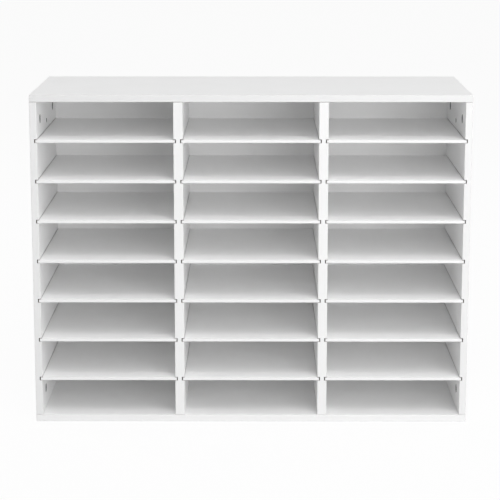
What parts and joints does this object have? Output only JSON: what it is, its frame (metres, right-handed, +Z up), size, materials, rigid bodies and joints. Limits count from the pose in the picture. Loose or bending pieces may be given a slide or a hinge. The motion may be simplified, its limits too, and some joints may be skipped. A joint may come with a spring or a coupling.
{
  "type": "pigeonhole mail sorter",
  "caption": "Free-standing white pigeonhole mail sorter: an open-fronted case of grooved uprights with a closed back and thin loose shelves that slide out at the front.",
  "frame": {"origin": "middle of the footprint, on the surface that the sorter stands on", "axes": "+X to the right across the front, +Y from the open front to the back panel, +Z up"},
  "size_m": [0.746, 0.305, 0.569],
  "materials": {
    "white_board": "white melamine on particle board, satin, with matching edge band",
    "white_shelf": "thin fibreboard, white satin lacquer on the faces and edges",
    "white_back": "thin hardboard, white lacquer",
    "zinc_cam": "die-cast zinc, bare",
    "steel_bolt": "zinc plated steel",
    "beech_dowel": "bare beech"
  },
  "bodies": {
    "case": {"top_board": "white_board", "bottom_board": "white_board", "left_side_panel": "white_board", "right_side_panel": "white_board", "left_divider": "white_board", "right_divider": "white_board", "back_panel": "white_back", "cam_left_top_front": "zinc_cam", "cam_left_top_rear": "zinc_cam", "cam_right_top_front": "zinc_cam", "cam_right_top_rear": "zinc_cam", "cam_left_bottom_front": "zinc_cam", "cam_left_bottom_rear": "zinc_cam", "cam_right_bottom_front": "zinc_cam", "cam_right_bottom_rear": "zinc_cam", "bolt_left_top_front": "steel_bolt", "bolt_left_top_rear": "steel_bolt", "bolt_right_top_front": "steel_bolt", "bolt_right_top_rear": "steel_bolt", "bolt_left_bottom_front": "steel_bolt", "bolt_left_bottom_rear": "steel_bolt", "bolt_right_bottom_front": "steel_bolt", "bolt_right_bottom_rear": "steel_bolt", "dowel_left_side_top": "beech_dowel", "dowel_right_side_top": "beech_dowel", "dowel_left_divider_front_top": "beech_dowel", "dowel_left_divider_rear_top": "beech_dowel", "dowel_right_divider_front_top": "beech_dowel", "dowel_right_divider_rear_top": "beech_dowel", "dowel_left_side_bottom": "beech_dowel", "dowel_right_side_bottom": "beech_dowel", "dowel_left_divider_front_bottom": "beech_dowel", "dowel_left_divider_rear_bottom": "beech_dowel", "dowel_right_divider_front_bottom": "beech_dowel", "dowel_right_divider_rear_bottom": "beech_dowel"},
    "shelf_left_1": {"shelf_left_1": "white_shelf"},
    "shelf_left_2": {"shelf_left_2": "white_shelf"},
    "shelf_left_3": {"shelf_left_3": "white_shelf"},
    "shelf_left_4": {"shelf_left_4": "white_shelf"},
    "shelf_left_5": {"shelf_left_5": "white_shelf"},
    "shelf_left_6": {"shelf_left_6": "white_shelf"},
    "shelf_left_7": {"shelf_left_7": "white_shelf"},
    "shelf_middle_1": {"shelf_middle_1": "white_shelf"},
    "shelf_middle_2": {"shelf_middle_2": "white_shelf"},
    "shelf_middle_3": {"shelf_middle_3": "white_shelf"},
    "shelf_middle_4": {"shelf_middle_4": "white_shelf"},
    "shelf_middle_5": {"shelf_middle_5": "white_shelf"},
    "shelf_middle_6": {"shelf_middle_6": "white_shelf"},
    "shelf_middle_7": {"shelf_middle_7": "white_shelf"},
    "shelf_right_1": {"shelf_right_1": "white_shelf"},
    "shelf_right_2": {"shelf_right_2": "white_shelf"},
    "shelf_right_3": {"shelf_right_3": "white_shelf"},
    "shelf_right_4": {"shelf_right_4": "white_shelf"},
    "shelf_right_5": {"shelf_right_5": "white_shelf"},
    "shelf_right_6": {"shelf_right_6": "white_shelf"},
    "shelf_right_7": {"shelf_right_7": "white_shelf"}
  },
  "joints": [
    {"name": "slide_left_1", "type": "slide", "parent": "case", "child": "shelf_left_1", "axis": [0, -1, 0], "range_m": [0, 0.25]},
    {"name": "slide_left_2", "type": "slide", "parent": "case", "child": "shelf_left_2", "axis": [0, -1, 0], "range_m": [0, 0.25]},
    {"name": "slide_left_3", "type": "slide", "parent": "case", "child": "shelf_left_3", "axis": [0, -1, 0], "range_m": [0, 0.25]},
    {"name": "slide_left_4", "type": "slide", "parent": "case", "child": "shelf_left_4", "axis": [0, -1, 0], "range_m": [0, 0.25]},
    {"name": "slide_left_5", "type": "slide", "parent": "case", "child": "shelf_left_5", "axis": [0, -1, 0], "range_m": [0, 0.25]},
    {"name": "slide_left_6", "type": "slide", "parent": "case", "child": "shelf_left_6", "axis": [0, -1, 0], "range_m": [0, 0.25]},
    {"name": "slide_left_7", "type": "slide", "parent": "case", "child": "shelf_left_7", "axis": [0, -1, 0], "range_m": [0, 0.25]},
    {"name": "slide_middle_1", "type": "slide", "parent": "case", "child": "shelf_middle_1", "axis": [0, -1, 0], "range_m": [0, 0.25]},
    {"name": "slide_middle_2", "type": "slide", "parent": "case", "child": "shelf_middle_2", "axis": [0, -1, 0], "range_m": [0, 0.25]},
    {"name": "slide_middle_3", "type": "slide", "parent": "case", "child": "shelf_middle_3", "axis": [0, -1, 0], "range_m": [0, 0.25]},
    {"name": "slide_middle_4", "type": "slide", "parent": "case", "child": "shelf_middle_4", "axis": [0, -1, 0], "range_m": [0, 0.25]},
    {"name": "slide_middle_5", "type": "slide", "parent": "case", "child": "shelf_middle_5", "axis": [0, -1, 0], "range_m": [0, 0.25]},
    {"name": "slide_middle_6", "type": "slide", "parent": "case", "child": "shelf_middle_6", "axis": [0, -1, 0], "range_m": [0, 0.25]},
    {"name": "slide_middle_7", "type": "slide", "parent": "case", "child": "shelf_middle_7", "axis": [0, -1, 0], "range_m": [0, 0.25]},
    {"name": "slide_right_1", "type": "slide", "parent": "case", "child": "shelf_right_1", "axis": [0, -1, 0], "range_m": [0, 0.25]},
    {"name": "slide_right_2", "type": "slide", "parent": "case", "child": "shelf_right_2", "axis": [0, -1, 0], "range_m": [0, 0.25]},
    {"name": "slide_right_3", "type": "slide", "parent": "case", "child": "shelf_right_3", "axis": [0, -1, 0], "range_m": [0, 0.25]},
    {"name": "slide_right_4", "type": "slide", "parent": "case", "child": "shelf_right_4", "axis": [0, -1, 0], "range_m": [0, 0.25]},
    {"name": "slide_right_5", "type": "slide", "parent": "case", "child": "shelf_right_5", "axis": [0, -1, 0], "range_m": [0, 0.25]},
    {"name": "slide_right_6", "type": "slide", "parent": "case", "child": "shelf_right_6", "axis": [0, -1, 0], "range_m": [0, 0.25]},
    {"name": "slide_right_7", "type": "slide", "parent": "case", "child": "shelf_right_7", "axis": [0, -1, 0], "range_m": [0, 0.25]}
  ]
}
